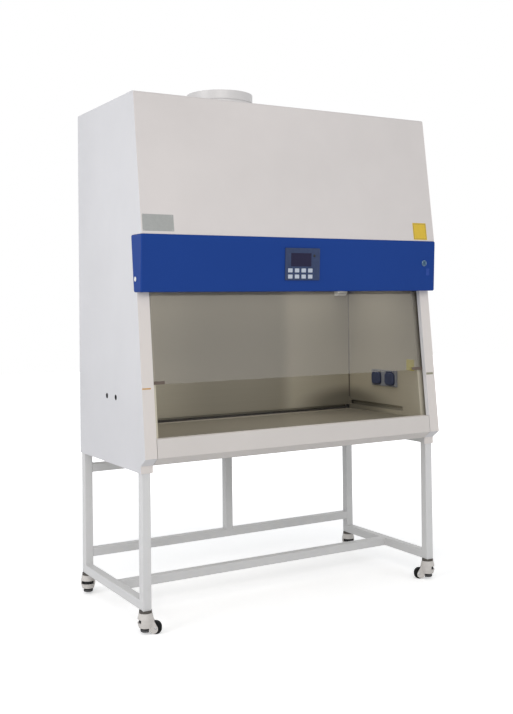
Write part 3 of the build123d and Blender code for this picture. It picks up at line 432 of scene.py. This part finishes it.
# painted light: the front-facing faces of these panels take a warmer white
panel_paint = powder_coat("panel_paint", COOL_WHITE, front=linear(216, 210, 206))
front_paint = powder_coat("front_paint", WARM_WHITE)
apron_paint = powder_coat("apron_paint", linear(208, 203, 199))
stand_paint = powder_coat("stand_paint", linear(213, 213, 213), rough=0.38)
blue_paint = powder_coat("blue_paint", linear(26, 62, 136), rough=0.5, wear=0.04, sheen=0.12)
wall_steel = liner_steel("wall_steel", (0.35, 0.325, 0.262, 1))
tray_steel = brushed_steel("tray_steel", (0.42, 0.39, 0.325, 1), GRAIN_ALONG_X, rough=0.40,
                           metal=0.7)
zinc_steel = brushed_steel("zinc_steel", (0.52, 0.53, 0.54, 1), (30.0, 30.0, 30.0), rough=0.45)
axle_steel = brushed_steel("axle_steel", (0.60, 0.60, 0.61, 1), (200.0, 200.0, 6.0), rough=0.25)
dark_steel = brushed_steel("dark_steel", (0.13, 0.12, 0.11, 1), (60.0, 60.0, 300.0), rough=0.5)
lock_metal = brushed_steel("lock_metal", (0.20, 0.30, 0.40, 1), (300.0, 300.0, 300.0),
                           rough=0.4)
sealant = moulded("sealant", linear(92, 86, 78), rough=0.6)
clip_plastic = moulded("clip_plastic", linear(104, 92, 84), rough=0.5)
collar_paint = powder_coat("collar_paint", linear(215, 213, 212), rough=0.35)
pane = sash_pane("pane")
black_plastic = moulded("black_plastic", NEAR_BLACK)
bezel_plastic = moulded("bezel_plastic", linear(62, 73, 102), rough=0.5, sheen=0.08)
key_plastic = moulded("key_plastic", linear(184, 192, 206), rough=0.4, wear=0.04)
white_plastic = moulded("white_plastic", linear(226, 226, 224), rough=0.4, wear=0.04)
socket_grey = moulded("socket_grey", linear(118, 120, 126), rough=0.45)
cover_blue = moulded("cover_blue", linear(54, 60, 82), rough=0.4, sheen=0.2)
caster_shell = moulded("caster_shell", linear(206, 202, 198), rough=0.42, wear=0.06)
tyre_rubber = moulded("tyre_rubber", (0.014, 0.014, 0.015, 1), rough=0.6, grain=500.0, sheen=0.1)
dial_plastic = moulded("dial_plastic", NEAR_BLACK, rough=0.5, sheen=0.15)
foot_rubber = moulded("foot_rubber", (0.090, 0.090, 0.092, 1), rough=0.7, sheen=0.15)
screen = screen_glass("screen")
tube_glass = lamp_glass("tube_glass")
media = filter_paper("media", (0.86, 0.86, 0.83, 1))
diffuser_steel = perforated("diffuser_steel", (0.55, 0.53, 0.48, 1), HOLE_PITCH)
label_yellow = moulded("label_yellow", linear(214, 182, 62), rough=0.45, wear=0.05)
label_grey = moulded("label_grey", linear(163, 165, 163), rough=0.35, wear=0.05)
label_blue = moulded("label_blue", linear(46, 74, 150), rough=0.5, sheen=0.12)
label_line = moulded("label_line", linear(60, 58, 54), rough=0.5)
mark_orange = moulded("mark_orange", linear(200, 158, 104), rough=0.5)
mark_grey = moulded("mark_grey", linear(148, 146, 128), rough=0.5)
sticker_yellow = moulded("sticker_yellow", linear(168, 156, 40), rough=0.5)

# the CAD nodes that show each material
CAD_FINISH = {
    panel_paint: ["side_panel_left", "side_panel_right", "back_panel", "top_panel"],
    front_paint: ["hood_panel"],
    apron_paint: ["apron_panel"],
    stand_paint: ["stand_frame_left", "stand_frame_right", "stand_rear_frame",
                  "stand_centre_rail"],
    blue_paint: ["control_band"],
    wall_steel: ["chamber_liner", "base_pan"],
    tray_steel: ["work_tray", "front_grille"],
    zinc_steel: ["plenum_box", "blower_housing", "blower_impeller", "sash_drive"],
    collar_paint: ["exhaust_collar"],
    media: ["supply_filter", "exhaust_filter"],
    diffuser_steel: ["diffuser_grille"],
    pane: ["sash_glass"],
    clip_plastic: ["sash_clips"],
    black_plastic: ["port_plugs"],
    tube_glass: ["uv_tube", "light_tube"],
    white_plastic: ["lamp_holders"],
    bezel_plastic: ["control_bezel"],
    key_plastic: ["key_%d" % n for n in range(1, 9)],
    screen: ["display_screen"],
    lock_metal: ["key_switch"],
    socket_grey: ["socket_plate"],
    cover_blue: ["socket_cover_1", "socket_cover_2"],
    dark_steel: ["caster_rings"],
}
for corner in CASTER_LAYOUT:
    for kind, finish in (("fork", caster_shell), ("wheel", tyre_rubber),
                         ("dial", dial_plastic), ("foot", foot_rubber)):
        CAD_FINISH.setdefault(finish, []).append("caster_%s_%s" % (corner, kind))
for finish, names in CAD_FINISH.items():
    for name in names:
        mesh = nodes[name].data
        mesh.materials.clear()
        mesh.materials.append(finish)


# ---------------------------------------------------------------- mesh helpers
UP = (0, 0, 1)


def piece(name, mesh_maker, finish, body, smooth=False):
    """A new mesh, filled by mesh_maker, that rides on a body."""
    bm = bmesh.new()
    mesh_maker(bm)
    bmesh.ops.recalc_face_normals(bm, faces=bm.faces)
    mesh = bpy.data.meshes.new(name)
    bm.to_mesh(mesh)
    bm.free()
    for polygon in mesh.polygons:
        polygon.use_smooth = smooth
    mesh.materials.append(finish)
    obj = bpy.data.objects.new(name, mesh)
    scene.collection.objects.link(obj)
    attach(obj, body)


def face_frame(origin, outward, up):
    """x to the right, y up and z out of a face, seen by someone looking at it."""
    z = Vector(outward).normalized()
    x = Vector(up).cross(z).normalized()
    y = z.cross(x)
    turn = Matrix((x, y, z)).transposed().to_4x4()
    return Matrix.Translation(Vector(origin)) @ turn


def add_plate(bm, place, width, height, thick, corner, steps=5):
    """A rounded plate with a softened front edge, standing on a face.

    steps is the number of flats to each corner."""
    soft = min(thick * 0.5, corner * 0.5)
    rings = ((0.0, 0.0), (thick - soft, 0.0), (thick - soft * 0.3, soft * 0.3), (thick, soft))
    loops = []
    for lift, inset in rings:
        loop = []
        radius = max(corner - inset, corner * 0.3)
        for quarter, (sx, sy) in enumerate(((1, 1), (-1, 1), (-1, -1), (1, -1))):
            cx = sx * (width / 2 - inset - radius)
            cy = sy * (height / 2 - inset - radius)
            for step in range(steps + 1):
                angle = math.pi / 2 * (quarter + step / steps)
                x = cx + radius * math.cos(angle)
                y = cy + radius * math.sin(angle)
                loop.append(bm.verts.new(place @ Vector((x, y, lift))))
        loops.append(loop)
    count = len(loops[0])
    for low, high in zip(loops, loops[1:]):
        for i in range(count):
            j = (i + 1) % count
            bm.faces.new((low[i], low[j], high[j], high[i]))
    bm.faces.new(loops[-1])
    bm.faces.new(list(reversed(loops[0])))


def add_lathe(bm, place, profile, steps=32):
    """(radius, height) points turned about place's z axis; an end closes where its radius is 0."""
    loops = []
    for radius, height in profile:
        points = [(0, 0, height)]
        if radius > 0.0:
            turns = [2 * math.pi * i / steps for i in range(steps)]
            points = [(radius * math.cos(turn), radius * math.sin(turn), height) for turn in turns]
        loops.append([bm.verts.new(place @ Vector(point)) for point in points])
    for low, high in zip(loops, loops[1:]):
        for i in range(steps):
            j = (i + 1) % steps
            if len(low) == 1:
                bm.faces.new((low[0], high[j], high[i]))
            elif len(high) == 1:
                bm.faces.new((low[i], low[j], high[0]))
            else:
                bm.faces.new((low[i], low[j], high[j], high[i]))


def add_screw(bm, place, radius):
    """A pan head; a thin raised cross stands for its recess."""
    high = radius * 0.55
    add_lathe(bm, place, [(0.0, 0.0), (radius, 0.0), (radius * 0.97, high * 0.35),
                          (radius * 0.80, high * 0.8), (radius * 0.55, high), (0.0, high)],
              steps=20)
    arm, half = radius * 0.5, radius * 0.09
    for turn in (0, math.pi / 2):
        spin = place @ Matrix.Rotation(turn, 4, "Z") @ Matrix.Translation((0, 0, high))
        add_plate(bm, spin, width=arm * 2, height=half * 2, thick=radius * 0.02, corner=half,
                  steps=2)


# ---------------------------------------------------------------- blank labels and marks
# The sloping faces: the depth and height of a point on each, in mm, and its slope, depth by height.
HOOD_DEPTH, HOOD_Z, HOOD_LEAN = 642.0, 2179.0, 0.127
WINDOW_DEPTH, WINDOW_Z, WINDOW_LEAN = 732.0, 702.0, 0.1016
BAND_DEPTH, BAND_Z, BAND_TILT = 707.944, 1362.0, 12.224 / 233.0


def on_hood(x_mm, z_mm):
    depth = HOOD_DEPTH + (HOOD_Z - z_mm) * HOOD_LEAN
    return face_frame((x_mm / 1000, depth_y(depth), z_mm / 1000), (0, -1, HOOD_LEAN),
                      (0, -HOOD_LEAN, 1))


def on_window(x_mm, z_mm):
    depth = WINDOW_DEPTH - (z_mm - WINDOW_Z) * WINDOW_LEAN
    return face_frame((x_mm / 1000, depth_y(depth), z_mm / 1000), (0, -1, WINDOW_LEAN), UP)


def on_band(x_mm, z_mm, proud_mm=0.0):
    depth = BAND_DEPTH + (z_mm - BAND_Z) * BAND_TILT
    out = Vector((0, -1, -BAND_TILT)).normalized()
    at = Vector((x_mm / 1000, depth_y(depth), z_mm / 1000)) + out * proud_mm / 1000
    return face_frame(at, out, UP)


# places are x and z in mm, and sizes are in metres
HOOD_LABEL_X, HOOD_LABEL_Z = 668, 1640
HOOD_LABEL_SIDE, HOOD_LABEL_THICK = 0.080, 0.0004
PLATE_X, PLATE_Z, PLATE_THICK = -676, 1640, 0.0008
RIVET_OUT, RIVET_UP = 64, 29
FILM_THICK = 0.0003
INK_THICK = 0.0001

# the printed border's four lines, in mm: offset across and up, width, height
BORDER_LINES = ((0, 35, 72, 1.2), (0, -35, 72, 1.2), (-35.4, 0, 1.2, 71), (35.4, 0, 1.2, 71))

# turned shapes, as (radius, height) in metres
RIVET = [(0.0, 0.0), (0.0022, 0.0), (0.0019, 0.0008), (0.0, 0.0013)]
HOLE_PLUG = [(0.0, 0.0), (0.010, 0.0), (0.010, 0.0006), (0.009, 0.0014), (0.0, 0.0018)]


def plate_on(face, x_mm, z_mm, **size):
    """The mesh maker of one plain plate on a sloping face."""
    return lambda bm: add_plate(bm, face(x_mm, z_mm), **size)


def hood_label_border(bm):
    on_label = Matrix.Translation((0, 0, HOOD_LABEL_THICK))
    for dx, dz, width, height in BORDER_LINES:
        add_plate(bm, on_hood(HOOD_LABEL_X + dx, HOOD_LABEL_Z + dz) @ on_label,
                  width / 1000, height / 1000, INK_THICK, corner=0.0004, steps=2)


def plate_rivets(bm):
    on_plate = Matrix.Translation((0, 0, PLATE_THICK))
    for dx in (-RIVET_OUT, RIVET_OUT):
        for dz in (-RIVET_UP, RIVET_UP):
            add_lathe(bm, on_hood(PLATE_X + dx, PLATE_Z + dz) @ on_plate, RIVET, steps=16)


def wall_sticker(bm):
    place = face_frame((LINER_HALF, depth_y(619), 1.009), (-1, 0, 0), UP)
    add_plate(bm, place, width=0.058, height=0.052, thick=FILM_THICK, corner=0.003, steps=4)


def band_end_plug(bm):
    add_lathe(bm, face_frame((-0.753, depth_y(655), 1.415), (-1, 0, 0), UP), HOLE_PLUG)


piece("hood_label",
      plate_on(on_hood, HOOD_LABEL_X, HOOD_LABEL_Z, width=HOOD_LABEL_SIDE,
               height=HOOD_LABEL_SIDE, thick=HOOD_LABEL_THICK, corner=0.003),
      label_yellow, "cabinet")
piece("hood_label_border", hood_label_border, label_line, "cabinet")
piece("rating_plate",
      plate_on(on_hood, PLATE_X, PLATE_Z, width=0.138, height=0.068, thick=PLATE_THICK,
               corner=0.003),
      label_grey, "cabinet")
piece("plate_rivets", plate_rivets, axle_steel, "cabinet", smooth=True)
piece("opening_mark_left",
      plate_on(on_window, -730, 978, width=0.038, height=0.006, thick=FILM_THICK,
               corner=0.0008, steps=3),
      mark_orange, "cabinet")
piece("opening_mark_right",
      plate_on(on_window, 721, 972, width=0.040, height=0.010, thick=FILM_THICK,
               corner=0.0008, steps=3),
      mark_grey, "cabinet")
piece("wall_sticker", wall_sticker, sticker_yellow, "cabinet")
piece("band_end_plug", band_end_plug, white_plastic, "cabinet", smooth=True)

# ---------------------------------------------------------------- control unit and screws
BEZEL_PROUD = 5.0
LAMP_DOME = [(0.0, 0.0), (0.0060, 0.0), (0.0060, 0.0006), (0.0045, 0.0016), (0.0, 0.0021)]

# screws: radius in metres, and their rows and columns in mm
SOCKET_SCREW_R = 0.0032
SOCKET_FACE = 0.669
SOCKET_DEPTHS = (330, 512)
SOCKET_ROWS = (904, 967)
REAR_SCREW_R = 0.0045
REAR_FIRST_X, REAR_PITCH, REAR_COLUMNS = -732, 244, 7
REAR_ROWS = (655, 1030, 1405, 1780, 2160)


def indicator_lamp(bm):
    add_lathe(bm, on_band(66, 1517, BEZEL_PROUD), LAMP_DOME)


def socket_screws(bm):
    for depth in SOCKET_DEPTHS:
        for z_mm in SOCKET_ROWS:
            at = (SOCKET_FACE, depth_y(depth), z_mm / 1000)
            add_screw(bm, face_frame(at, (-1, 0, 0), UP), SOCKET_SCREW_R)


def rear_screws(bm):
    for column in range(REAR_COLUMNS):
        x_mm = REAR_FIRST_X + REAR_PITCH * column
        for z_mm in REAR_ROWS:
            at = (x_mm / 1000, BACK_Y, z_mm / 1000)
            add_screw(bm, face_frame(at, (0, 1, 0), UP), REAR_SCREW_R)


piece("lock_label",
      plate_on(on_band, 711, 1450, width=0.019, height=0.032, thick=0.0004, corner=0.003),
      label_blue, "cabinet")
piece("indicator_lamp", indicator_lamp, black_plastic, "cabinet", smooth=True)
piece("socket_screws", socket_screws, axle_steel, "cabinet")
piece("rear_screws", rear_screws, axle_steel, "cabinet")

# ---------------------------------------------------------------- inside the cabinet
# the lamp tubes' ends: half length, depth and height, in mm
LAMP_ENDS = ((585, 148, 1384), (560, 675, 1415))

# turned shapes, as (radius, height) in metres
SEALANT_BEAD = [(0.0, 0.0), (0.003, 0.0), (0.0042, 0.0012), (0.0042, 0.572), (0.003, 0.5732),
                (0.0, 0.5732)]
TUBE_CAP = [(0.0128, 0.0), (0.0134, 0.0), (0.0134, 0.016), (0.0131, 0.017), (0.0128, 0.017)]

# the exhaust filter's pleated paper, under the collar, in metres
PLEATS_X = -0.197
PLEATS_Y = depth_y(350)
PLEATS_HALF = 0.208
PLEATS = 84
PLEATS_LOW, PLEATS_HIGH, PAPER = 2.1695, 2.1755, 0.0006


def corner_sealant(bm):
    for x in (-LINER_HALF, LINER_HALF):
        place = face_frame((x, depth_y(LINER_BACK), 0.822), UP, (0, -1, 0))
        add_lathe(bm, place, SEALANT_BEAD, steps=24)


def return_baffles(bm):
    """Plates behind the slots, so that nothing shows through them."""
    place = face_frame((0, depth_y(100), 0.805), (0, -1, 0), UP)
    add_plate(bm, place, width=1.32, height=0.070, thick=0.001, corner=0.004)
    for side in (-1, 1):
        place = face_frame((side * 0.692, depth_y(348), 0.808), (-side, 0, 0), UP)
        add_plate(bm, place, width=0.45, height=0.060, thick=0.001, corner=0.004)


def lamp_caps(bm):
    for half, depth, z_mm in LAMP_ENDS:
        for side in (-1, 1):
            at = (side * half / 1000, depth_y(depth), z_mm / 1000)
            add_lathe(bm, face_frame(at, (-side, 0, 0), UP), TUBE_CAP)


def exhaust_pleats(bm):
    x0, x1 = PLEATS_X - PLEATS_HALF, PLEATS_X + PLEATS_HALF
    y0, y1 = PLEATS_Y - PLEATS_HALF, PLEATS_Y + PLEATS_HALF
    rows = []
    for i in range(PLEATS + 1):
        x = x0 + (x1 - x0) * i / PLEATS
        z = PLEATS_HIGH if i % 2 else PLEATS_LOW
        rows.append([bm.verts.new((x, y, z + lift)) for y, lift in
                     ((y0, 0.0), (y1, 0.0), (y1, PAPER), (y0, PAPER))])
    for a, b in zip(rows, rows[1:]):
        for k in range(4):
            bm.faces.new((a[k], a[(k + 1) % 4], b[(k + 1) % 4], b[k]))
    bm.faces.new(rows[0])
    bm.faces.new(list(reversed(rows[-1])))


piece("corner_sealant", corner_sealant, sealant, "cabinet", smooth=True)
piece("return_baffles", return_baffles, wall_steel, "cabinet")
piece("lamp_caps", lamp_caps, axle_steel, "cabinet", smooth=True)
piece("exhaust_pleats", exhaust_pleats, media, "cabinet")

# ---------------------------------------------------------------- caster axle caps
AXLE_CAP = [(0.0, 0.0), (0.0052, 0.0), (0.0050, 0.0007), (0.0040, 0.0015), (0.0020, 0.0020),
            (0.0, 0.0021)]


def axle_caps(corner):
    """Caps on both ends of one caster's axle, as a mesh maker."""
    x, depth, turn = CASTER_LAYOUT[corner]
    spin = Matrix.Translation((x, depth_y(depth), 0)) @ Matrix.Rotation(math.radians(turn), 4, "Z")

    def build(bm):
        for side in (-1, 1):
            place = spin @ face_frame((WHEEL_TRAIL, side * CHEEK_HALF, WHEEL_R), (0, side, 0), UP)
            add_lathe(bm, place, AXLE_CAP, steps=24)
    return build


for corner in CASTER_LAYOUT:
    piece("axle_caps_" + corner, axle_caps(corner), axle_steel, "caster_%s_fork" % corner,
          smooth=True)

# ---------------------------------------------------------------- floor, light, background
FLOOR_HALF = 14.0

# The floor's own glow, for the camera alone, by distance from the middle: it keeps the shadow
# near the object and fades to the white background.
FLOOR_GLOW = (0.9, 3.2, 0.42, 0.95)

# the background as the camera, glass and metal see it, and the light it gives to the rest
WORLD_SEEN, WORLD_SEEN_STRENGTH = (1, 1, 1, 1), 1.0
WORLD_FILL, WORLD_FILL_STRENGTH = (0.96, 0.98, 1.0, 1), 0.55

KEY_TINT = (1.0, 0.955, 0.925)
SIDE_TINT = (1.0, 0.985, 0.99)
CHAMBER_TINT = (1.0, 0.98, 0.95)
CHAMBER_Y = BACK_Y - 0.36


def stage_floor():
    mesh = bpy.data.meshes.new("studio_floor")
    size = FLOOR_HALF
    mesh.from_pydata([(-size, -size, 0), (size, -size, 0), (size, size, 0), (-size, size, 0)], [],
                     [(0, 1, 2, 3)])
    f = Finish("studio_floor")
    f.link(f.ramp(f.noise(3.0), [(0.3, (0.90, 0.90, 0.90, 1)), (0.7, (0.94, 0.94, 0.94, 1))]),
           f.surface.inputs["Base Color"])
    f.set(Roughness=0.9, Specular_IOR_Level=0.1)
    glow = f.add("ShaderNodeEmission")
    path = f.add("ShaderNodeLightPath")
    away = f.add("ShaderNodeVectorMath", operation="LENGTH")
    f.link(f.coord.outputs["Object"], away.inputs[0])
    level = f.ease(away.outputs["Value"], *FLOOR_GLOW)
    f.link(f.times(path.outputs["Is Camera Ray"], level), glow.inputs["Strength"])
    both = f.add("ShaderNodeAddShader")
    f.link(f.surface.outputs[0], both.inputs[0])
    f.link(glow.outputs[0], both.inputs[1])
    f.link(both.outputs[0], f.out.inputs[0])
    mesh.materials.append(f.mat)
    floor = bpy.data.objects.new("studio_floor", mesh)
    scene.collection.objects.link(floor)


def background(tree, colour, strength):
    node = tree.nodes.new("ShaderNodeBackground")
    node.inputs["Color"].default_value = colour
    node.inputs["Strength"].default_value = strength
    return node.outputs[0]


def studio_world():
    """White to the camera and in glass and metal, and a dimmer light on everything else."""
    world = bpy.data.worlds.new("studio")
    scene.world = world
    world.use_nodes = True
    tree = world.node_tree
    tree.nodes.clear()
    out = tree.nodes.new("ShaderNodeOutputWorld")
    seen = background(tree, WORLD_SEEN, WORLD_SEEN_STRENGTH)
    fill = background(tree, WORLD_FILL, WORLD_FILL_STRENGTH)
    path = tree.nodes.new("ShaderNodeLightPath")
    direct = path.outputs["Is Camera Ray"]
    for ray in ("Is Transmission Ray", "Is Glossy Ray"):
        either = tree.nodes.new("ShaderNodeMath")
        either.operation = "MAXIMUM"
        tree.links.new(direct, either.inputs[0])
        tree.links.new(path.outputs[ray], either.inputs[1])
        direct = either.outputs[0]
    mix = tree.nodes.new("ShaderNodeMixShader")
    tree.links.new(direct, mix.inputs[0])
    tree.links.new(fill, mix.inputs[1])
    tree.links.new(seen, mix.inputs[2])
    tree.links.new(mix.outputs[0], out.inputs[0])


def softbox(name, at, target, width, height, power, colour=(1, 1, 1)):
    """A rectangular lamp of that many watts, facing its target."""
    data = bpy.data.lights.new(name, "AREA")
    data.shape = "RECTANGLE"
    data.size = width
    data.size_y = height
    data.energy = power
    data.color = colour
    lamp = bpy.data.objects.new(name, data)
    scene.collection.objects.link(lamp)
    lamp.location = at
    lamp.rotation_euler = (Vector(target) - Vector(at)).to_track_quat("-Z", "Y").to_euler()
    return lamp


stage_floor()
studio_world()

# each lamp: its place, its target, its width and height, its watts and its colour
softbox("key_light", (-1.8, -4.6, 3.6), (0.0, 0.0, 1.2), 3.0, 2.2, 70.0, KEY_TINT)
softbox("side_light", (-5.0, -0.6, 2.4), (0.0, 0.0, 1.3), 2.4, 2.6, 80.0, SIDE_TINT)
chamber_fill = softbox("chamber_fill", (0.0, CHAMBER_Y, 1.385), (0.0, CHAMBER_Y, 0.76),
                       1.2, 0.36, 4.5, CHAMBER_TINT)
chamber_fill.visible_camera = False
chamber_fill.visible_glossy = False
front_fill = softbox("front_fill", (2.6, -4.4, 1.6), (0.0, 0.0, 1.0), 2.6, 2.2, 25.0)
front_fill.visible_glossy = False

scene.view_settings.view_transform = "Standard"
